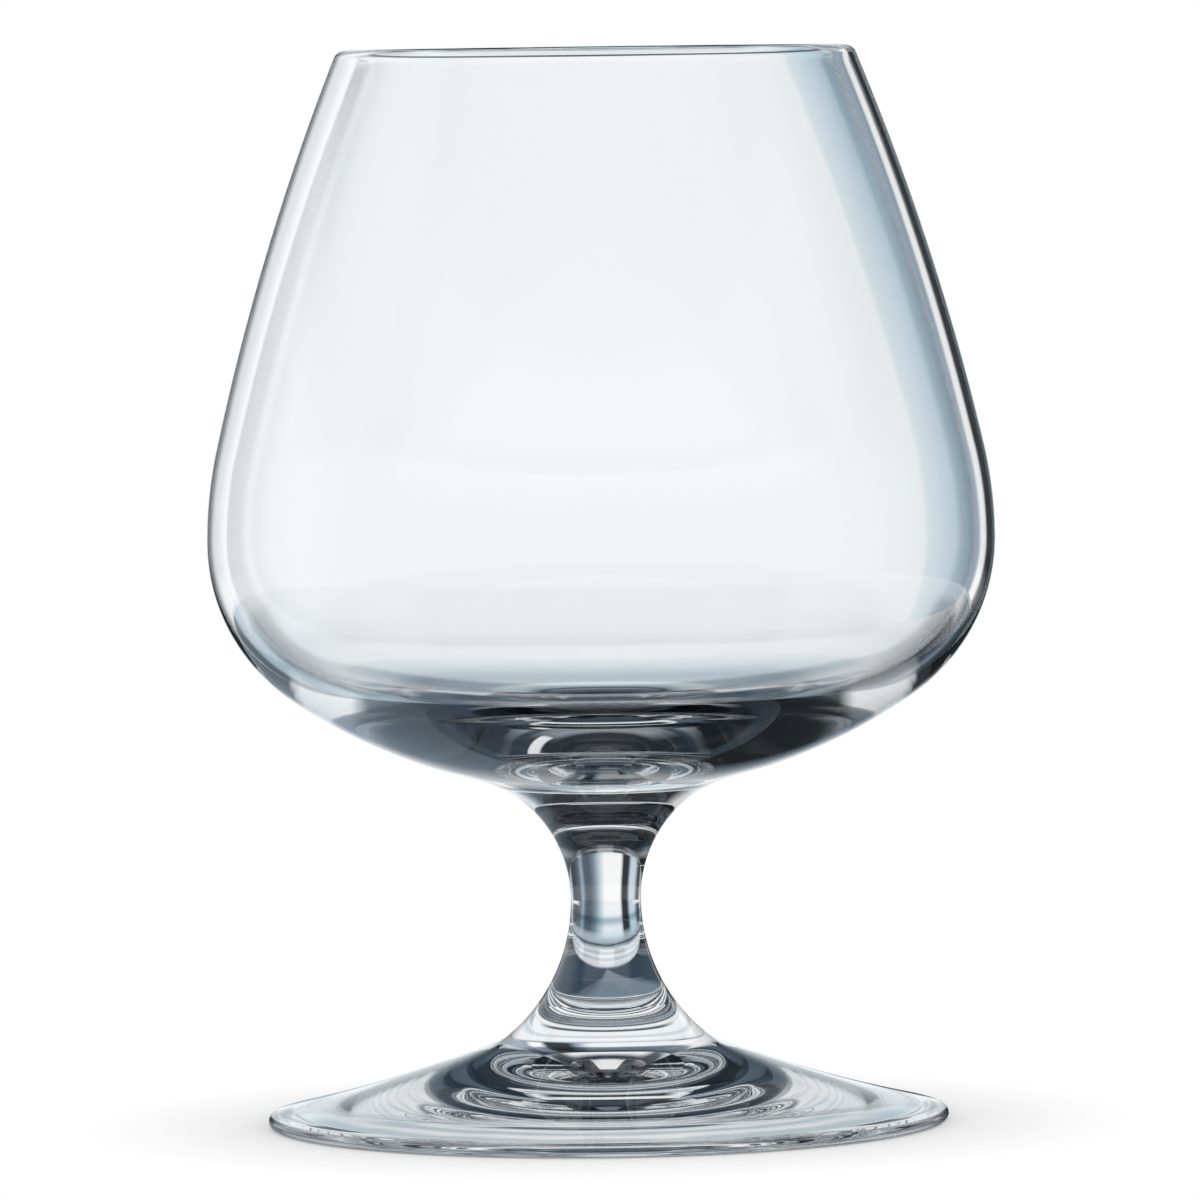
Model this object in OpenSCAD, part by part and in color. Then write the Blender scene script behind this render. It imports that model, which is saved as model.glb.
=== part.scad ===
// Brandy snifter: a blown bowl, a short drawn stem and a pressed foot, fused at two seams.
// Millimetres, +Z up. The origin is on the axis, in the plane that the foot stands on.
// Points of the profile are [radius, height]. Each stretch of it is one arc, and arcs meet tangent.

/* [Bowl, outside] */
// Height of the glass, from the table to the top of the rim
glass_h = 112; // [108:0.5:116]
// Diameter across the middle of the rim's edge
mouth_d = 52; // [48:0.5:58]
// Diameter at the belly, the widest place
belly_d = 82; // [78:0.5:86]
// Height of the belly above the table
belly_z = 60.8; // [58:0.2:64]
// Radius of the wall's long curve between the belly and the rim, outside and inside
wall_r = 257; // [200:1:400]
// Radius of the curve just above the belly, as a share of the height from the belly to the rim
belly_bow = 0.86; // [0.75:0.01:0.98]
// Radius of the shoulder below the belly
shoulder_r = 19.6; // [17:0.2:22]
// Height of the round underside at the axis, if the stem were not there
underside_z = 34.5; // [33:0.1:36]

/* [Bowl, wall] */
// Thickness of the glass at the rim, which is polished round
rim_t = 2.4; // [1.4:0.1:2.6]
// Thickness of the glass at the belly
belly_t = 2; // [1.4:0.1:2.6]
// Thickness of the glass on the axis, between the drink and the underside
base_t = 6.5; // [4:0.1:7.5]
// Radius of the shoulder inside the bowl
inner_shoulder_r = 16.6; // [15:0.2:18.6]

/* [Stem] */
// Diameter at the waist, the thinnest place
waist_d = 7.3; // [6.4:0.1:9]
// Height of the waist above the table
waist_z = 23.3; // [22:0.1:24.4]
// Height of the seam between the bowl and the stem
bowl_seam_z = 31.5; // [29:0.1:33]
// Height of the seam between the stem and the foot
foot_seam_z = 12.5; // [12:0.1:16]

/* [Foot] */
// Diameter of the foot
foot_d = 71; // [66:0.5:76]
// Diameter at which the foot's flank turns up into the stem
crown_d = 24; // [20:0.5:28]
// Height of that place above the table
crown_z = 8.2; // [7:0.1:9.4]
// Radius of the turn from the flank into the stem
crown_r = 6; // [4:0.1:7]
// Radius of the flank's slight hollow curve
flank_r = 158; // [110:1:300]
// Thickness of the foot's round edge
edge_t = 1.2; // [0.9:0.1:1.8]
// Width of the flat ring that the foot stands on, inside its round edge
ring_w = 2; // [1.2:0.1:6]
// Height of the hollow under the foot, at the axis
hollow_h = 4.5; // [2:0.1:5]

/* [Hidden] */
$fn = 256;

glass_colour = [0.86, 0.92, 0.95, 0.55];

// A unit vector from one point to another
function towards(from, to) = (to - from) / norm(to - from);

// Where two circles cross: the crossing to the right of the way from a to b, or to the left with side = -1
function meet(a, a_r, b, b_r, side = 1) =
    let (d = norm(b - a))
    let (along = (a_r * a_r - b_r * b_r + d * d) / (2 * d))
    let (across = sqrt(a_r * a_r - along * along))
    let (u = towards(a, b))
    a + along * u + side * across * [u.y, -u.x];

// Height of the centre, on the axis, of a round base with its lowest point at low_z,
// which meets the shoulder's arc tangent
function base_centre_z(shoulder, r, low_z) =
    let (drop = shoulder.y - low_z - r)
    shoulder.y + (shoulder.x * shoulder.x - drop * drop) / (2 * drop);

// Rim
lip_r = rim_t / 2;
lip = [mouth_d / 2, glass_h - lip_r];

// Outside of the bowl
belly_r = belly_bow * (glass_h - belly_z);
belly = [belly_d / 2 - belly_r, belly_z];
wall = meet(belly, wall_r - belly_r, lip, wall_r - lip_r, -1);
shoulder = [belly_d / 2 - shoulder_r, belly_z];
base = [0, base_centre_z(shoulder, shoulder_r, underside_z)];
base_r = base.y - underside_z;
wall_to_lip = lip + lip_r * towards(wall, lip);
belly_to_wall = belly + belly_r * towards(wall, belly);
base_to_shoulder = base + base_r * towards(base, shoulder);

// Inside of the bowl
inner_belly_r = belly_r - belly_t;
inner_wall = meet(belly, wall_r - inner_belly_r, lip, wall_r + lip_r, -1);
inner_shoulder = [belly_d / 2 - belly_t - inner_shoulder_r, belly_z];
inner_base_z = underside_z + base_t;
inner_base = [0, base_centre_z(inner_shoulder, inner_shoulder_r, inner_base_z)];
inner_base_r = inner_base.y - inner_base_z;
lip_to_inner_wall = lip + lip_r * towards(lip, inner_wall);
inner_wall_to_belly = belly + inner_belly_r * towards(inner_wall, belly);
inner_shoulder_to_base = inner_base + inner_base_r * towards(inner_base, inner_shoulder);

// Upper flare of the stem, tangent to the waist and to the bowl's underside
waist_r = waist_d / 2;
upper_r = (waist_r * waist_r + pow(base.y - waist_z, 2) - base_r * base_r) / (2 * (base_r - waist_r));
upper = [waist_r + upper_r, waist_z];
upper_to_base = base + base_r * towards(base, upper);

// Flank of the foot, from the crown to the round edge
edge_r = edge_t / 2;
edge = [foot_d / 2 - edge_r, edge_r];
crown_edge = [crown_d / 2, crown_z];
flank = meet(crown_edge, flank_r, edge, flank_r + edge_r, -1);
flank_to_edge = edge + edge_r * towards(edge, flank);

// Turn from the flank into the stem, and the stem's lower flare, which is tangent to the turn and the waist
crown = crown_edge + crown_r * towards(crown_edge, flank);
lower_r = (pow(crown.x - waist_r, 2) + pow(waist_z - crown.y, 2) - crown_r * crown_r)
    / (2 * (crown.x - waist_r - crown_r));
lower = [waist_r + lower_r, waist_z];
lower_to_crown = lower + lower_r * towards(lower, crown);

// Hollow under the foot, inside the ring
ring_inner_r = edge.x - ring_w;
hollow_r = (ring_inner_r * ring_inner_r + hollow_h * hollow_h) / (2 * hollow_h);

// Wider than any profile
reach = belly_d;

// How far an arc stands proud of a larger neighbour, so that the two cross cleanly instead of just touching
lap = 0.002;
// How far an arc runs on inside its neighbour
run = 1;

// The part of a profile between two heights
module band(z0, z1) {
    intersection() {
        children();
        translate([0, z0])
            square([reach, z1 - z0]);
    }
}

// A stretch of profile that bulges outwards, filled to the axis
module bulge(centre, r, z0, z1) {
    band(z0, z1) {
        translate(centre)
            circle(r);
        if (centre.x > 0)
            translate([0, z0])
                square([centre.x, z1 - z0]);
    }
}

// A stretch of profile that is hollowed by an arc from outside, filled to the axis
module flare(centre, r, z0, z1) {
    difference() {
        translate([0, z0])
            square([centre.x, z1 - z0]);
        translate(centre)
            circle(r);
    }
}

// Everything above the line across the rim where the walls end and the lip's round begins
module above_lip() {
    polygon([
        wall_to_lip,
        lip,
        lip_to_inner_wall,
        [0, lip_to_inner_wall.y],
        [0, glass_h + rim_t],
        [reach, glass_h + rim_t],
        [reach, wall_to_lip.y]
    ]);
}

module bowl_outside() {
    flare(upper, upper_r + lap, bowl_seam_z, upper_to_base.y);
    bulge(base, base_r, bowl_seam_z, base_to_shoulder.y);
    bulge(shoulder, shoulder_r + 2 * lap, base_to_shoulder.y - run, belly_z + run);
    bulge(belly, belly_r + lap, belly_z, belly_to_wall.y + run);
    bulge(wall, wall_r, belly_to_wall.y, wall_to_lip.y);
}

module bowl_inside() {
    bulge(inner_base, inner_base_r, underside_z, inner_shoulder_to_base.y);
    bulge(inner_shoulder, inner_shoulder_r + 2 * lap, inner_shoulder_to_base.y - run, belly_z + run);
    bulge(belly, inner_belly_r + lap, belly_z, inner_wall_to_belly.y + run);
    bulge(inner_wall, wall_r, inner_wall_to_belly.y, glass_h);
}

module bowl() {
    color(glass_colour)
        rotate_extrude() {
            difference() {
                bowl_outside();
                bowl_inside();
                above_lip();
            }
            translate(lip)
                circle(lip_r + lap);
        }
}

module stem() {
    color(glass_colour)
        rotate_extrude() {
            flare(upper, upper_r + lap, waist_z, bowl_seam_z);
            flare(lower, lower_r + lap, foot_seam_z, waist_z);
        }
}

module foot_outside() {
    flare(lower, lower_r + lap, lower_to_crown.y - run, foot_seam_z);
    flare(crown, crown_r + 2 * lap, crown_z, lower_to_crown.y);
    flare(flank, flank_r + lap, flank_to_edge.y, crown_z + run);
    translate(edge)
        circle(edge_r);
    square([edge.x, flank_to_edge.y]);
}

module foot_hollow() {
    band(0, crown_z)
        translate([0, hollow_h - hollow_r])
            circle(hollow_r);
}

module foot() {
    color(glass_colour)
        rotate_extrude()
            difference() {
                foot_outside();
                foot_hollow();
            }
}

bowl();
stem();
foot();
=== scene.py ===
"""A brandy snifter of clear glass on a white table: bowl, stem and foot, lit as a bright field."""
import functools
import math

import bmesh
import bpy
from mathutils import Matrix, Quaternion, Vector


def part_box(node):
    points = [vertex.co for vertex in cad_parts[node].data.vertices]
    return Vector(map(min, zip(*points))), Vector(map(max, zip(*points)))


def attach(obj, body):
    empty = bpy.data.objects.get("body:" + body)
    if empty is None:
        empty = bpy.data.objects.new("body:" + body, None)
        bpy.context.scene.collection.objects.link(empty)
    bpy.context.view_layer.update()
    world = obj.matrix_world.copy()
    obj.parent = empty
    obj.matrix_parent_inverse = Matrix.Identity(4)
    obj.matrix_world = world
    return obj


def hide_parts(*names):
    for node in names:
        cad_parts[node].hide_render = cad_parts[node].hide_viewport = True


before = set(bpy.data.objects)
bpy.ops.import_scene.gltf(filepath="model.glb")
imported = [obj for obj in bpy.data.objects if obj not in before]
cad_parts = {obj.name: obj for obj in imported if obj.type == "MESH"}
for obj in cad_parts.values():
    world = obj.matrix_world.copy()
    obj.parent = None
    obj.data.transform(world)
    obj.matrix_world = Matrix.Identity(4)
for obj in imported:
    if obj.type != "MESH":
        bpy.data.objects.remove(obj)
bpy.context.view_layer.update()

# Sizes in metres. The frame gives the outer heights and widths, and the rest shapes the curves between them.
bowl_low, bowl_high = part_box("bowl")
_, foot_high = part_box("foot")
GLASS_H = bowl_high.z
BELLY_R = bowl_high.x
BOWL_SEAM_Z = bowl_low.z
FOOT_SEAM_Z = foot_high.z
FOOT_R = foot_high.x

MOUTH_R = 0.0260
BELLY_Z = 0.0608
WALL_CURVE = 0.257
# Radius of the curve just above the belly, as a share of the height from the belly to the rim
BELLY_BOW = 0.86
SHOULDER_CURVE = 0.0196
UNDERSIDE_Z = 0.0345
RIM_T = 0.0024
BELLY_T = 0.0020
BASE_T = 0.0065
INNER_SHOULDER_CURVE = 0.0166
WAIST_R = 0.00365
WAIST_Z = 0.0233
CROWN_R = 0.012
CROWN_Z = 0.0082
CROWN_CURVE = 0.006
FLANK_CURVE = 0.158
EDGE_T = 0.0012
RING_W = 0.0020
HOLLOW_H = 0.0045

# Fineness of the turned meshes, and how near to the axis a point of a profile counts as on it
AROUND = 192
STEP_LENGTH = 0.0009
STEP_ANGLE = math.radians(5)
ON_AXIS = 1e-7

# The camera stands a little above the rim, far off with a long lens, and leans to one side
CAMERA_DISTANCE = 1.100
CAMERA_HEIGHT = 0.116
CAMERA_AIM_X = -0.0002
CAMERA_AIM_Z = 0.0545
CAMERA_LENS = 317.4
CAMERA_SENSOR = 36
CAMERA_ROLL = -0.0132

# A round table just below the glass. Plain light falls on it near the foot, and it fades into the white around it.
TABLE_R = 0.25
TABLE_SIDES = 128
TABLE_DROP = 0.0001
TABLE_GREY = (0.8, 0.8, 0.8)
TABLE_GLOW = 0.2
TABLE_FADE = (0.0355, 0.055)

# Material slots of a piece: the glass and the faces of its seams
GLASS, SEAM = 0, 1
# A hair between the faces of a seam, so that light passes them one after the other
SEAM_GAP = 0.00001
GLASS_INDEX = 1.52
SEAM_INDEX = 1.0
GLASS_TINT = (1.0, 1.0, 1.0)

# Faint waves in the faces of the glass, drawn out along it, and a trace of haze
WAVE_STRETCH = (1.0, 1.0, 0.35)
WAVE_SCALE = 55.0
WAVE_DETAIL = 1.0
WAVE_HEIGHT = 0.000012
HAZE_SCALE = 320.0
HAZE_DETAIL = 3.0
HAZE_RANGE = (0.5, 0.8)
HAZE_ROUGHNESS = 0.006

# Painted shade in the glass's base colour: light that has turned often in the thick glass of stem and crown,
# between these heights, leaves it darkened. One count of turns is spared.
THICK_PAINTED_SHADE = (0.035, 0.045, 0.06)
THICK_LOW = (0.0060, 0.0080)
THICK_HIGH = (0.0345, 0.0330)
THICK_TURNS = (2.2, 2.8)
THICK_SPARED = 4

# Light may turn this often on its way
BOUNCES = 32

# Colours of the studio, as glass sees it
WHITE = (1.0, 1.0, 1.0)
BLACK = (0.0, 0.0, 0.0)
CLEAR = (0.955, 0.985, 1.0)
MILK = (0.93, 0.955, 0.975)
CLOUD = (0.80, 0.88, 0.92)
PALE = (0.62, 0.74, 0.80)
# Painted shade rings on the table under the foot
SHADE_RING = (0.60, 0.70, 0.76)
SLATE = (0.34, 0.43, 0.50)
DUSK = (0.20, 0.27, 0.33)
SHADOW = (0.18, 0.24, 0.29)
GAP = (0.10, 0.125, 0.155)
FRONT = (0.10, 0.14, 0.17)
DARK = (0.03, 0.035, 0.04)

# The studio is written as lists of (place, colour). A place is a bearing in degrees (0 is straight behind the
# glass and 90 is at its right), an elevation in degrees, or a distance from the axis in metres. A pair of numbers
# is a soft border: nothing at the first and all at the second. A pair that is named for turns says how often the
# glass has turned a ray, and one that is named for a width is a bearing to either side.

# Through the bowl: the white field behind it ends at the right in a sharp border. By bearing.
FIELD = [
    (-20, CLEAR), (6.9, CLEAR), (7.3, (0.76, 0.86, 0.90)), (9, (0.68, 0.81, 0.88)), (12, (0.55, 0.72, 0.81)),
    (15, (0.46, 0.62, 0.73)), (19, (0.43, 0.60, 0.72)), (25, MILK), (30.5, MILK), (33, SLATE), (38, SLATE),
    (50, CLEAR), (60, CLEAR),
]
FIELD_WIDTH = (80, 110)
# The same along the edge of the bowl's wall, where a dark gap and a tall light show. By bearing and elevation.
EDGE = [
    (-20, CLEAR), (5.4, CLEAR), (9, SLATE), (12, DARK), (20, DARK), (22.5, WHITE), (27, WHITE),
    (29.5, (0.22, 0.29, 0.36)), (36, (0.22, 0.31, 0.40)), (42, SLATE), (60, SLATE),
]
EDGE_CEILING = [(0, WHITE), (14, WHITE), (18, SHADOW), (30, GAP), (90, DARK)]
EDGE_TURNS = (4, 3)
# The field's top. By elevation.
CEILING = [
    (-90, WHITE), (22, WHITE), (27, MILK), (34, (0.10, 0.12, 0.14)), (50, (0.04, 0.045, 0.05)), (90, DARK),
]
# A dark sill low behind the table, between two elevations, which only the rim shows
SILL = (-18.0, -13.0)
SILL_SOFT = 0.8
SILL_WIDTH = (40, 30)
SILL_TURN = 4

# Through solid glass, which turns the light further: a white field between dark strips. By bearing.
STRIPS = [
    (-180, GAP), (-130, GAP), (-122, MILK), (-70, MILK), (-58, DARK), (-50, GAP), (-41, PALE), (-32, PALE),
    (-27, DARK), (-19.5, DARK), (-16.5, WHITE), (1, WHITE), (7.6, (0.46, 0.56, 0.62)), (12.3, (0.20, 0.26, 0.31)),
    (18, GAP), (25, GAP), (30, SLATE), (36, GAP), (48, DARK), (58, DARK), (70, MILK), (122, MILK), (130, GAP),
    (180, GAP),
]
STRIPS_TURNS = (3, 2)
STRIPS_BOTTOM = (-12, -8)
# The strips lie on the table too: where they begin there, and where they end unless they are behind the glass
TABLE_STRIPS_TURNS = (4, 3)
TABLE_STRIPS_START = (0.045, 0.065)
TABLE_STRIPS_END = (0.20, 0.16)
TABLE_STRIPS_WIDTH = (45, 35)

# Light that turns often in the thick glass sees dark screens at the sides. What turns most, in the flanks of the
# foot, sees white beyond them. By bearing.
SCREENS = [
    (-180, DARK), (-118, DARK), (-108, SLATE), (-64, SLATE), (-58, DARK), (-18, DARK), (18, GAP), (58, GAP),
    (66, SLATE), (108, SLATE), (118, DARK), (180, DARK),
]
SCREEN_TURNS = (5.5, 6.5)
FLANKS = [
    (-180, DARK), (-128, DARK), (-118, MILK), (-61, MILK), (-54, DARK), (-18, DARK), (18, GAP), (54, GAP),
    (62, MILK), (118, MILK), (128, DARK), (180, DARK),
]
FLANK_TURNS = (11.5, 12.5)
SHORT_OF_FLANKS = (12.5, 11.5)
# The same straight behind and in front. By elevation.
BEHIND = [
    (-90, WHITE), (-10, WHITE), (-7, DARK), (9, DARK), (12, MILK), (38, MILK), (44, DARK), (90, DARK),
]
BEHIND_WIDTH = (26, 18)
BEHIND_TURNS = (4, 5)
BEFORE = [
    (-90, MILK), (-30, MILK), (-6, DARK), (12, DARK), (27, MILK), (34, MILK), (42, DARK), (90, DARK),
]
BEFORE_WIDTH = (105, 135)
BEFORE_TURNS = (5, 6)
# Light that turns more often still is dimmed, and sees no white in front
DEEP_TINT = (0.30, 0.33, 0.36)
DEEP_TURNS = (6, 7)
# Small lights that sparkle in the thick base of the bowl and in the foot: bearings and elevations of their sides,
# and the least and most turns of the light that shows them
SPARKS = [
    ((-143, -124), (-4, 8), (8, 8)),
    ((23, 31), (28, 37), (8, 8)),
    ((-14, 14), (50, 66), (9, 13)),
    ((-14, 14), (-5, 12), (10, 14)),
]
SPARK_SOFT = 2.0
# Border of a count of turns
TURN_SOFT = 0.6

# Mirrored by the glass: a soft light behind it, by elevation, the room by bearing, and a skylight in front of it,
# by elevation
GLEAM = [
    (-10, PALE), (-4, CLOUD), (2, (0.92, 0.97, 1.0)), (8, (0.86, 0.93, 0.97)), (16, PALE), (30, GAP), (90, DARK),
]
GLEAM_WIDTH = [(0, WHITE), (6, WHITE), (9, BLACK), (180, BLACK)]
ROOM = [
    (-180, FRONT), (-110, FRONT), (-80, MILK), (-25, MILK), (-18, DARK), (25, DARK), (28.5, MILK), (33.5, MILK),
    (37, SHADOW), (80, SHADOW), (110, FRONT), (180, FRONT),
]
SKYLIGHT = [(-90, FRONT), (10, FRONT), (18, MILK), (42, MILK), (52, FRONT), (90, FRONT)]
SKYLIGHT_WIDTH = (110, 125)
# The same on the table. By bearing.
TABLE_ROOM = [
    (-180, FRONT), (-110, FRONT), (-80, SLATE), (-20, SLATE), (-9, MILK), (9, MILK), (15, SLATE), (22, DARK),
    (90, DARK), (110, FRONT), (180, FRONT),
]

# The shade of the glass on the table. By distance, which drifts a little from place to place.
SHADE = [
    (0, SLATE), (0.006, SHADOW), (0.011, GAP), (0.015, (0.85, 0.90, 0.93)), (0.0195, WHITE), (0.0215, SHADE_RING),
    (0.0235, SHADE_RING), (0.0262, WHITE), (0.0275, WHITE), (0.0295, SHADE_RING), (0.0315, SHADE_RING), (0.035, MILK),
    (0.040, SLATE), (0.043, DARK), (0.046, SLATE), (0.056, PALE), (0.072, CLOUD), (0.088, (0.45, 0.55, 0.61)),
    (0.096, (0.40, 0.50, 0.56)), (0.108, (0.70, 0.80, 0.85)), (0.120, MILK), (0.125, MILK),
]
SHADE_SCALE = 110.0
SHADE_DETAIL = 1.0
SHADE_DRIFT = 0.005
NOISE_MEAN = 0.5
# Light that comes straight down through bowl and foot turns this often, and sees the shade alone
THROUGH_TURNS = (4, 6)
# What turns in the foot sees more shade under it, by distance, and beside its middle, by bearing and distance
UNDER = [
    (0, SHADOW), (0.0275, SHADOW), (0.0295, MILK), (0.044, MILK), (0.075, PALE), (0.090, DUSK), (0.125, DUSK),
    (0.150, MILK), (0.16, MILK),
]
UNDER_TURNS = (4, 5)
ASIDE_RIGHT = (3, 11)
ASIDE_LEFT = (-21, -32)
ASIDE_REACH = (0.042, 0.040)
ASIDE_TURNS = (2, 3)
# What the foot has mirrored once inside sees the darkest of it
ONCE_TURN = 3
ONCE_REACH = (0.03, 0.028)


def point(radius, height):
    """A point of a profile."""
    return Vector((radius, height))


def towards(start, end):
    """Unit vector from one point to another."""
    return (end - start).normalized()


def meet(a, a_r, b, b_r):
    """Where two circles cross, on the left of the way from a to b."""
    d = (b - a).length
    along = (a_r * a_r - b_r * b_r + d * d) / (2 * d)
    across = math.sqrt(a_r * a_r - along * along)
    u = towards(a, b)
    return a + along * u + across * point(-u.y, u.x)


def base_centre(shoulder, curve, low_z):
    """Centre, on the axis, of a round base with its lowest point at low_z, tangent to a shoulder's arc."""
    drop = shoulder.y - low_z - curve
    return point(0, shoulder.y + (shoulder.x**2 - drop**2) / (2 * drop))


def flare_at(centre, curve, z):
    """The point at height z on the axis side of a flare's arc."""
    return point(centre.x - math.sqrt(curve**2 - (z - centre.y) ** 2), z)


def arc(centre, start, end):
    """Points of the shorter arc round a centre, from start to end."""
    a = math.atan2(start.y - centre.y, start.x - centre.x)
    b = math.atan2(end.y - centre.y, end.x - centre.x)
    turn = (b - a + math.pi) % (2 * math.pi) - math.pi
    r = (start - centre).length
    steps = max(2, math.ceil(abs(turn) * max(r / STEP_LENGTH, 1 / STEP_ANGLE)))
    angles = (a + turn * i / steps for i in range(steps + 1))
    return [centre + r * point(math.cos(t), math.sin(t)) for t in angles]


def line(start, end):
    """Points of a straight stretch."""
    steps = max(2, math.ceil((end - start).length / STEP_LENGTH))
    return [start.lerp(end, i / steps) for i in range(steps + 1)]


def lathe(name, stretches):
    """Turns a profile round the axis. A stretch is its points and its material slot, and two stretches with
    different slots meet at a sharp edge."""
    bm = bmesh.new()
    rows = []
    slots = []
    for points, slot in stretches:
        rows.extend(points if not rows else points[1:])
        slots.extend([slot] * (len(points) - 1))
    rings = []
    for p in rows:
        if p.x < ON_AXIS:
            rings.append([bm.verts.new((0, 0, p.y))])
            continue
        angles = (2 * math.pi * i / AROUND for i in range(AROUND))
        rings.append([bm.verts.new((p.x * math.cos(t), p.x * math.sin(t), p.y)) for t in angles])
    for low, high, slot in zip(rings, rings[1:], slots):
        for i in range(AROUND):
            j = (i + 1) % AROUND
            corners = [low[i % len(low)], low[j % len(low)], high[j % len(high)], high[i % len(high)]]
            face = bm.faces.new(dict.fromkeys(corners))
            face.material_index = slot
            face.smooth = True
    bmesh.ops.recalc_face_normals(bm, faces=bm.faces)
    for bm_edge in bm.edges:
        bm_edge.smooth = len({f.material_index for f in bm_edge.link_faces}) == 1
    mesh = bpy.data.meshes.new(name)
    bm.to_mesh(mesh)
    bm.free()
    turned_piece = bpy.data.objects.new(name, mesh)
    bpy.context.scene.collection.objects.link(turned_piece)
    return turned_piece


# Curves of the bowl's outside, from the rim down
lip_r = RIM_T / 2
lip = point(MOUTH_R, GLASS_H - lip_r)
belly_curve = BELLY_BOW * (GLASS_H - BELLY_Z)
belly = point(BELLY_R - belly_curve, BELLY_Z)
wall = meet(belly, WALL_CURVE - belly_curve, lip, WALL_CURVE - lip_r)
shoulder = point(BELLY_R - SHOULDER_CURVE, BELLY_Z)
base = base_centre(shoulder, SHOULDER_CURVE, UNDERSIDE_Z)
base_curve = base.y - UNDERSIDE_Z

# Curves of the bowl's inside
inner_belly_curve = belly_curve - BELLY_T
inner_wall = meet(belly, WALL_CURVE - inner_belly_curve, lip, WALL_CURVE + lip_r)
inner_shoulder = point(BELLY_R - BELLY_T - INNER_SHOULDER_CURVE, BELLY_Z)
inner_base_z = UNDERSIDE_Z + BASE_T
inner_base = base_centre(inner_shoulder, INNER_SHOULDER_CURVE, inner_base_z)
inner_base_curve = inner_base.y - inner_base_z

# Flank of the foot, from its round edge to the crown, where it turns up into the stem
edge_r = EDGE_T / 2
edge = point(FOOT_R - edge_r, edge_r)
crown_edge = point(CROWN_R, CROWN_Z)
flank = meet(crown_edge, FLANK_CURVE, edge, FLANK_CURVE + edge_r)
crown = crown_edge + CROWN_CURVE * towards(crown_edge, flank)

# Flares of the stem: the upper one is tangent to the bowl, and the lower one to the foot's crown
upper_curve = (WAIST_R**2 + (base.y - WAIST_Z) ** 2 - base_curve**2) / (2 * (base_curve - WAIST_R))
upper = point(WAIST_R + upper_curve, WAIST_Z)
crown_in = crown.x - WAIST_R
lower_curve = (crown_in**2 + (WAIST_Z - crown.y) ** 2 - CROWN_CURVE**2) / (2 * (crown_in - CROWN_CURVE))
lower = point(WAIST_R + lower_curve, WAIST_Z)
waist = point(WAIST_R, WAIST_Z)

# Hollow under the foot
ring_inner_r = edge.x - RING_W
hollow_curve = (ring_inner_r**2 + HOLLOW_H**2) / (2 * HOLLOW_H)
hollow = point(0, HOLLOW_H - hollow_curve)


def make_bowl():
    """The bowl, from the seam below it, up its outside, over the rim and down its inside."""
    seam_out = flare_at(upper, upper_curve, BOWL_SEAM_Z)
    upper_to_base = base + base_curve * towards(base, upper)
    base_to_shoulder = base + base_curve * towards(base, shoulder)
    belly_out = point(BELLY_R, BELLY_Z)
    belly_to_wall = belly + belly_curve * towards(wall, belly)
    wall_to_lip = lip + lip_r * towards(wall, lip)
    lip_top = lip + point(0, lip_r)
    lip_to_wall = lip + lip_r * towards(lip, inner_wall)
    wall_to_belly = belly + inner_belly_curve * towards(inner_wall, belly)
    belly_in = point(BELLY_R - BELLY_T, BELLY_Z)
    shoulder_to_base = inner_base + inner_base_curve * towards(inner_base, inner_shoulder)
    return lathe("glass_bowl", [
        (line(point(0, BOWL_SEAM_Z), seam_out), SEAM),
        (arc(upper, seam_out, upper_to_base), GLASS),
        (arc(base, upper_to_base, base_to_shoulder), GLASS),
        (arc(shoulder, base_to_shoulder, belly_out), GLASS),
        (arc(belly, belly_out, belly_to_wall), GLASS),
        (arc(wall, belly_to_wall, wall_to_lip), GLASS),
        (arc(lip, wall_to_lip, lip_top), GLASS),
        (arc(lip, lip_top, lip_to_wall), GLASS),
        (arc(inner_wall, lip_to_wall, wall_to_belly), GLASS),
        (arc(belly, wall_to_belly, belly_in), GLASS),
        (arc(inner_shoulder, belly_in, shoulder_to_base), GLASS),
        (arc(inner_base, shoulder_to_base, point(0, inner_base_z)), GLASS),
    ])


def make_stem():
    """The stem, from its lower seam to its upper one, a hair short of both."""
    low = flare_at(lower, lower_curve, FOOT_SEAM_Z + SEAM_GAP)
    high = flare_at(upper, upper_curve, BOWL_SEAM_Z - SEAM_GAP)
    return lathe("glass_stem", [
        (line(point(0, low.y), low), SEAM),
        (arc(lower, low, waist), GLASS),
        (arc(upper, waist, high), GLASS),
        (line(high, point(0, high.y)), SEAM),
    ])


def make_foot():
    """The foot, from the hollow under it, round its edge and up its flank to the seam."""
    flank_to_edge = edge + edge_r * towards(edge, flank)
    edge_low = point(edge.x, 0)
    edge_out = point(FOOT_R, edge.y)
    lower_to_crown = lower + lower_curve * towards(lower, crown)
    seam_out = flare_at(lower, lower_curve, FOOT_SEAM_Z)
    return lathe("glass_foot", [
        (arc(hollow, point(0, HOLLOW_H), point(ring_inner_r, 0)), GLASS),
        (line(point(ring_inner_r, 0), edge_low), GLASS),
        (arc(edge, edge_low, edge_out), GLASS),
        (arc(edge, edge_out, flank_to_edge), GLASS),
        (arc(flank, flank_to_edge, crown_edge), GLASS),
        (arc(crown, crown_edge, lower_to_crown), GLASS),
        (arc(lower, lower_to_crown, seam_out), GLASS),
        (line(seam_out, point(0, FOOT_SEAM_Z)), SEAM),
    ])


def empty_tree(owner):
    """The cleared node tree of a material or world."""
    owner.use_nodes = True
    owner.node_tree.nodes.clear()
    return owner.node_tree


def put(socket, value):
    """Sets a socket to a constant, or links another socket to it."""
    if isinstance(value, bpy.types.NodeSocket):
        socket.id_data.links.new(value, socket)
    else:
        socket.default_value = value


def add(tree, kind, values=None, **settings):
    """Adds a node, with its settings and the values of its inputs by name or number."""
    made = tree.nodes.new(kind)
    for name, value in settings.items():
        setattr(made, name, value)
    for key, value in (values or {}).items():
        put(made.inputs[key], value)
    return made


def opaque(colour):
    """A colour as a socket takes it."""
    return (*colour, 1)


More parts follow.
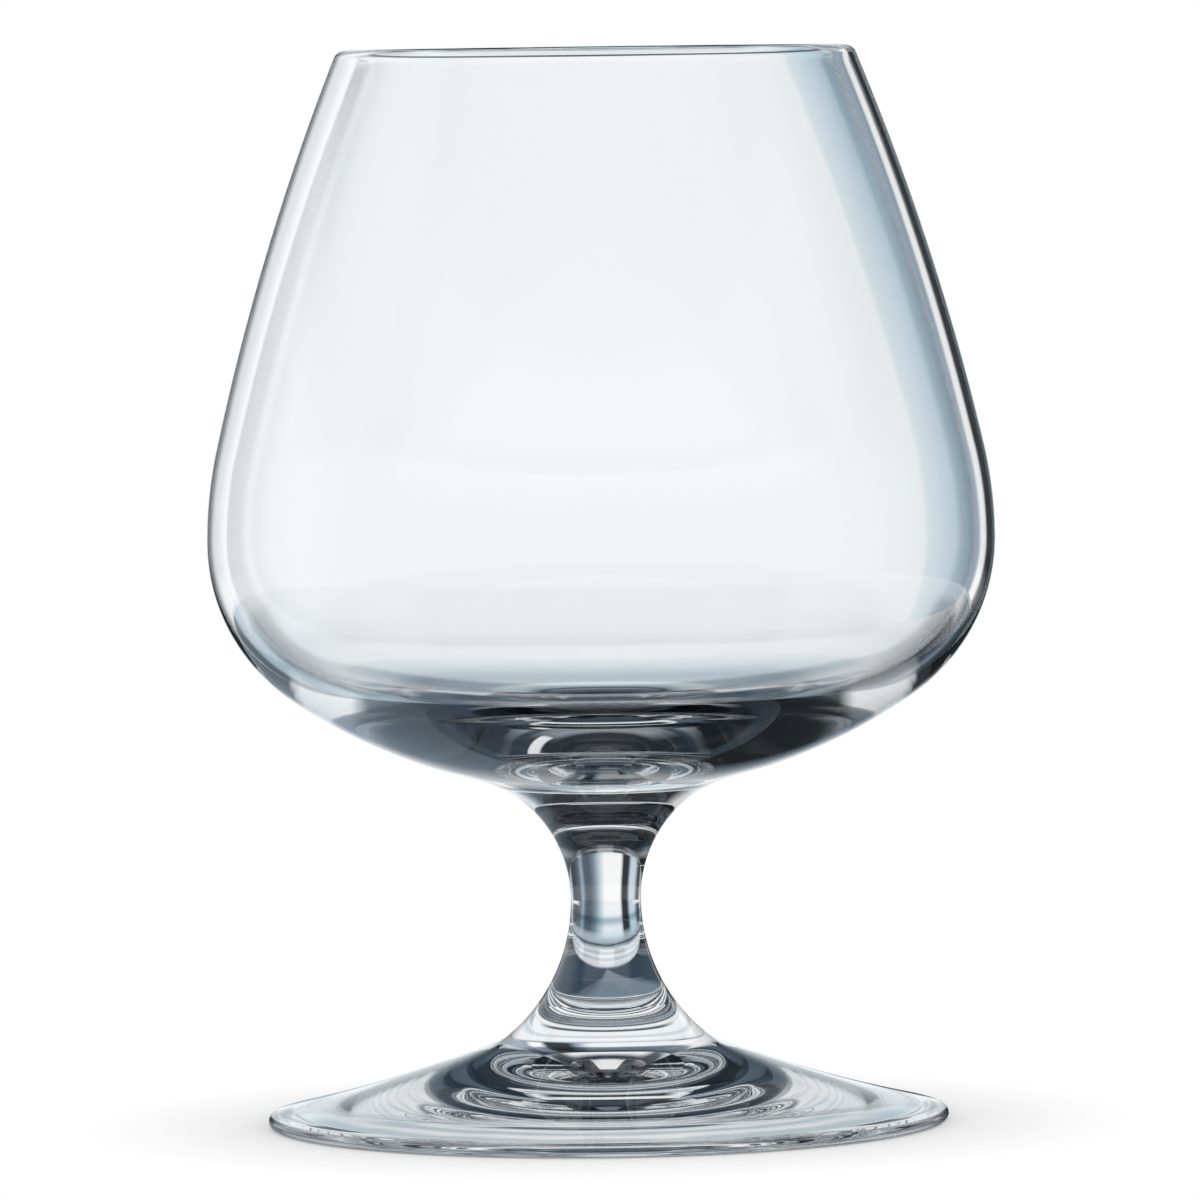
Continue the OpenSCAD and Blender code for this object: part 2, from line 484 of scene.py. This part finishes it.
def calc(tree, operation, *values):
    """A Math node's result."""
    return add(tree, "ShaderNodeMath", dict(enumerate(values)), operation=operation).outputs[0]


def product(tree, *factors):
    """Factors multiplied."""
    return functools.reduce(functools.partial(calc, tree, "MULTIPLY"), factors)


def inverse(tree, factor):
    """What a factor leaves of 1."""
    return calc(tree, "SUBTRACT", 1.0, factor)


def span(tree, value, low, high):
    """0 to 1 as a value goes from low to high."""
    return add(tree, "ShaderNodeMapRange", {"Value": value, "From Min": low, "From Max": high}).outputs[0]


def between(tree, value, low, high, soft):
    """1 where a value is between low and high, and 0 further out than the soft border."""
    return product(tree, span(tree, value, low - soft, low), span(tree, value, high + soft, high))


def counted(tree, turns, count):
    """1 for light that has turned just so often."""
    return between(tree, turns, count, count, TURN_SOFT)


def ramp(tree, factor, stops):
    """A colour ramp over a factor, with stops at places on its scale."""
    low, high = stops[0][0], stops[-1][0]
    made = add(tree, "ShaderNodeValToRGB", {"Fac": span(tree, factor, low, high)})
    elements = made.color_ramp.elements
    while len(elements) < len(stops):
        elements.new(0.5)
    for element, (place, colour) in zip(elements, stops):
        element.position = (place - low) / (high - low)
        element.color = opaque(colour)
    return made.outputs["Color"]


def mix(tree, factor, a, b, blend="MIX"):
    """Two colours mixed. The colour sockets of a Mix node go by number."""
    made = add(tree, "ShaderNodeMix", {0: factor, 6: a, 7: b}, data_type="RGBA", blend_type=blend)
    return made.outputs[2]


def times(tree, factor, a, b):
    """One colour dimmed by another, as far as the factor says."""
    return mix(tree, factor, a, b, "MULTIPLY")


def noise(tree, place, scale, detail):
    """Noise in space."""
    made = add(tree, "ShaderNodeTexNoise", {"Vector": place, "Scale": scale, "Detail": detail})
    return made.outputs[0]


def emission(tree, colour, strength):
    """A glowing surface."""
    return add(tree, "ShaderNodeEmission", {"Color": colour, "Strength": strength}).outputs[0]


def mix_shader(tree, factor, a, b):
    """Two surfaces mixed."""
    return add(tree, "ShaderNodeMixShader", {0: factor, 1: a, 2: b}).outputs[0]


def bearing_of(tree, axes):
    """Bearing of a direction or place, in degrees."""
    return calc(tree, "DEGREES", calc(tree, "ARCTAN2", axes["X"], axes["Y"]))


def make_glass():
    """Clear glass with the faint waves that blowing and fire polishing leave on its faces, and painted shade in
    thick parts.
    """
    material = bpy.data.materials.new("clear_glass")
    tree = empty_tree(material)
    place = add(tree, "ShaderNodeTexCoord").outputs["Object"]
    drawn = add(tree, "ShaderNodeMapping", {"Vector": place, "Scale": WAVE_STRETCH}).outputs[0]
    waves = noise(tree, drawn, WAVE_SCALE, WAVE_DETAIL)
    relief = add(tree, "ShaderNodeBump", {"Height": waves, "Strength": 1.0, "Distance": WAVE_HEIGHT})
    haze = span(tree, noise(tree, place, HAZE_SCALE, HAZE_DETAIL), *HAZE_RANGE)
    height = add(tree, "ShaderNodeSeparateXYZ", {0: place}).outputs["Z"]
    turns = add(tree, "ShaderNodeLightPath").outputs["Ray Depth"]
    # Painted shade: the base colour darkens for light that has turned often in the thick stem and crown
    dim = product(
        tree,
        span(tree, height, *THICK_LOW),
        span(tree, height, *THICK_HIGH),
        span(tree, turns, *THICK_TURNS),
        inverse(tree, counted(tree, turns, THICK_SPARED)),
    )
    shader = add(tree, "ShaderNodeBsdfPrincipled", {
        "Base Color": mix(tree, dim, opaque(GLASS_TINT), opaque(THICK_PAINTED_SHADE)),
        "Roughness": product(tree, haze, HAZE_ROUGHNESS),
        "Normal": relief.outputs[0],
        "IOR": GLASS_INDEX,
        "Transmission Weight": 1.0,
    })
    add(tree, "ShaderNodeOutputMaterial", {"Surface": shader.outputs[0]})
    return material


def make_seam():
    """Where two pieces are fused, light goes straight on: the joint has the index of what surrounds it."""
    material = bpy.data.materials.new("fused_seam")
    tree = empty_tree(material)
    shader = add(tree, "ShaderNodeBsdfPrincipled", {
        "Base Color": opaque(WHITE),
        "Roughness": 0.0,
        "IOR": SEAM_INDEX,
        "Transmission Weight": 1.0,
    })
    add(tree, "ShaderNodeOutputMaterial", {"Surface": shader.outputs[0]})
    return material


def screens(tree, bearing, turns):
    """The sides of the studio, for light that turns often."""
    most = span(tree, turns, *FLANK_TURNS)
    return mix(tree, most, ramp(tree, bearing, SCREENS), ramp(tree, bearing, FLANKS))


def dimmed(tree, colour, turns):
    """Light that turns often in the thick glass loses most of its strength, short of what the foot's flanks
    carry."""
    often = product(tree, span(tree, turns, *DEEP_TURNS), span(tree, turns, *SHORT_OF_FLANKS))
    return times(tree, often, colour, opaque(DEEP_TINT))


def world_through(tree, bearing, elevation, turns):
    """What light that glass has bent shows of the world."""
    aside = calc(tree, "ABSOLUTE", bearing)
    brink = times(tree, 1.0, ramp(tree, bearing, EDGE), ramp(tree, elevation, EDGE_CEILING))
    seen = mix(tree, span(tree, turns, *EDGE_TURNS), ramp(tree, bearing, FIELD), brink)
    seen = mix(tree, span(tree, aside, *FIELD_WIDTH), seen, opaque(CLEAR))

    strips = product(tree, span(tree, turns, *STRIPS_TURNS), span(tree, elevation, *STRIPS_BOTTOM))
    seen = mix(tree, strips, seen, ramp(tree, bearing, STRIPS))
    seen = mix(tree, span(tree, turns, *SCREEN_TURNS), seen, screens(tree, bearing, turns))
    seen = times(tree, 1.0, seen, ramp(tree, elevation, CEILING))

    sill = product(
        tree,
        between(tree, elevation, *SILL, SILL_SOFT),
        span(tree, aside, *SILL_WIDTH),
        counted(tree, turns, SILL_TURN),
    )
    seen = times(tree, sill, seen, opaque(GAP))

    behind = product(tree, span(tree, aside, *BEHIND_WIDTH), span(tree, turns, *BEHIND_TURNS))
    seen = mix(tree, behind, seen, ramp(tree, elevation, BEHIND))
    before = product(tree, span(tree, aside, *BEFORE_WIDTH), span(tree, turns, *BEFORE_TURNS))
    front = mix(tree, span(tree, turns, *DEEP_TURNS), ramp(tree, elevation, BEFORE), opaque(DARK))
    seen = dimmed(tree, mix(tree, before, seen, front), turns)

    for bearings, elevations, counts in SPARKS:
        lit = product(
            tree,
            between(tree, bearing, *bearings, SPARK_SOFT),
            between(tree, elevation, *elevations, SPARK_SOFT),
            between(tree, turns, *counts, TURN_SOFT),
        )
        seen = mix(tree, lit, seen, opaque(WHITE))
    return seen


def world_mirrored(tree, bearing, elevation):
    """What light that glass has mirrored shows of the world."""
    aside = calc(tree, "ABSOLUTE", bearing)
    gleam_width = ramp(tree, aside, GLEAM_WIDTH)
    seen = mix(tree, gleam_width, ramp(tree, bearing, ROOM), ramp(tree, elevation, GLEAM))
    return mix(tree, span(tree, aside, *SKYLIGHT_WIDTH), seen, ramp(tree, elevation, SKYLIGHT))


def make_world():
    """White for the camera and for plain light, and a studio for light that glass has bent or mirrored."""
    world = bpy.data.worlds.new("studio")
    tree = empty_tree(world)
    path = add(tree, "ShaderNodeLightPath").outputs
    direction = add(tree, "ShaderNodeTexCoord").outputs["Generated"]
    axes = add(tree, "ShaderNodeSeparateXYZ", {0: direction}).outputs
    bearing = bearing_of(tree, axes)
    elevation = calc(tree, "DEGREES", calc(tree, "ARCSINE", axes["Z"]))
    # The world counts one more than a surface does
    turns = calc(tree, "SUBTRACT", path["Ray Depth"], 1.0)
    mirrored = world_mirrored(tree, bearing, elevation)
    plain = mix(tree, path["Is Glossy Ray"], opaque(WHITE), mirrored)
    colour = mix(tree, path["Is Transmission Ray"], plain, world_through(tree, bearing, elevation, turns))
    shader = add(tree, "ShaderNodeBackground", {"Color": colour, "Strength": 1.0})
    add(tree, "ShaderNodeOutputWorld", {"Surface": shader.outputs[0]})
    bpy.context.scene.world = world


def table_through(tree, place, bearing, distance, turns):
    """What light that glass has bent shows of the table: the shade of the glass, and the studio around it."""
    aside = calc(tree, "ABSOLUTE", bearing)
    uneven = calc(tree, "SUBTRACT", noise(tree, place, SHADE_SCALE, SHADE_DETAIL), NOISE_MEAN)
    drifted = calc(tree, "MULTIPLY_ADD", uneven, SHADE_DRIFT, distance)
    away = span(tree, distance, *TABLE_STRIPS_START)
    shallow = span(tree, turns, *SHORT_OF_FLANKS)
    straight = calc(tree, "ADD", *(counted(tree, turns, count) for count in THROUGH_TURNS))
    folded = inverse(tree, straight)

    reach = calc(
        tree, "MAXIMUM", span(tree, distance, *TABLE_STRIPS_END), span(tree, aside, *TABLE_STRIPS_WIDTH)
    )
    strips = product(tree, span(tree, turns, *TABLE_STRIPS_TURNS), away, reach)
    seen = times(tree, strips, ramp(tree, drifted, SHADE), ramp(tree, bearing, STRIPS))

    under = product(tree, span(tree, turns, *UNDER_TURNS), shallow, folded)
    seen = mix(tree, under, seen, ramp(tree, distance, UNDER))

    sides = inverse(tree, span(tree, aside, *BEHIND_WIDTH))
    deep = product(tree, span(tree, turns, *SCREEN_TURNS), away, sides)
    seen = times(tree, deep, seen, screens(tree, bearing, turns))

    off_middle = calc(tree, "MAXIMUM", span(tree, bearing, *ASIDE_RIGHT), span(tree, bearing, *ASIDE_LEFT))
    beside = product(
        tree, span(tree, turns, *ASIDE_TURNS), shallow, span(tree, distance, *ASIDE_REACH), folded, off_middle
    )
    seen = times(tree, beside, seen, opaque(SHADOW))
    once = product(tree, counted(tree, turns, ONCE_TURN), span(tree, distance, *ONCE_REACH))
    seen = times(tree, once, seen, opaque(GAP))

    before = product(tree, span(tree, aside, *BEFORE_WIDTH), span(tree, turns, *BEFORE_TURNS), away)
    seen = mix(tree, before, seen, opaque(DARK))
    return dimmed(tree, seen, turns)


def make_table():
    """A round white table top, whose edge fades into the white around it. Light from the glass shows the shade
    and the studio on it."""
    material = bpy.data.materials.new("table")
    tree = empty_tree(material)
    path = add(tree, "ShaderNodeLightPath").outputs
    place = add(tree, "ShaderNodeTexCoord").outputs["Object"]
    bearing = bearing_of(tree, add(tree, "ShaderNodeSeparateXYZ", {0: place}).outputs)
    distance = add(tree, "ShaderNodeVectorMath", {0: place}, operation="LENGTH").outputs["Value"]

    matt = add(tree, "ShaderNodeBsdfDiffuse", {"Color": opaque(TABLE_GREY)}).outputs[0]
    glow = emission(tree, opaque(WHITE), TABLE_GLOW)
    lit = add(tree, "ShaderNodeAddShader", {0: matt, 1: glow}).outputs[0]
    plain = mix_shader(tree, span(tree, distance, *TABLE_FADE), lit, emission(tree, opaque(WHITE), 1.0))

    through = table_through(tree, place, bearing, distance, path["Ray Depth"])
    seen = mix(tree, path["Is Transmission Ray"], ramp(tree, bearing, TABLE_ROOM), through)
    from_glass = calc(tree, "MAXIMUM", path["Is Glossy Ray"], path["Is Transmission Ray"])
    surface = mix_shader(tree, from_glass, plain, emission(tree, seen, 1.0))
    add(tree, "ShaderNodeOutputMaterial", {"Surface": surface})

    bpy.ops.mesh.primitive_circle_add(
        vertices=TABLE_SIDES, radius=TABLE_R, fill_type="NGON", location=(0, 0, -TABLE_DROP)
    )
    table = bpy.context.object
    table.name = "table_top"
    table.data.materials.append(material)


def make_camera():
    """The camera, at the photograph's viewing angle."""
    data = bpy.data.cameras.new("camera")
    data.lens = CAMERA_LENS
    data.sensor_width = CAMERA_SENSOR
    camera = bpy.data.objects.new("camera", data)
    camera.location = (0, -CAMERA_DISTANCE, CAMERA_HEIGHT)
    view = Vector((CAMERA_AIM_X, 0, CAMERA_AIM_Z)) - camera.location
    camera.rotation_mode = "QUATERNION"
    camera.rotation_quaternion = view.to_track_quat("-Z", "Y") @ Quaternion((0, 0, 1), CAMERA_ROLL)
    bpy.context.scene.collection.objects.link(camera)
    bpy.context.scene.camera = camera


glass = make_glass()
seam = make_seam()
for piece, node in ((make_bowl(), "bowl"), (make_stem(), "stem"), (make_foot(), "foot")):
    piece.data.materials.append(glass)
    piece.data.materials.append(seam)
    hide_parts(node)
    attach(piece, "root")

make_world()
make_table()
make_camera()

scene = bpy.context.scene
scene.view_settings.view_transform = "Standard"
scene.cycles.max_bounces = BOUNCES
scene.cycles.transmission_bounces = BOUNCES
scene.cycles.glossy_bounces = BOUNCES
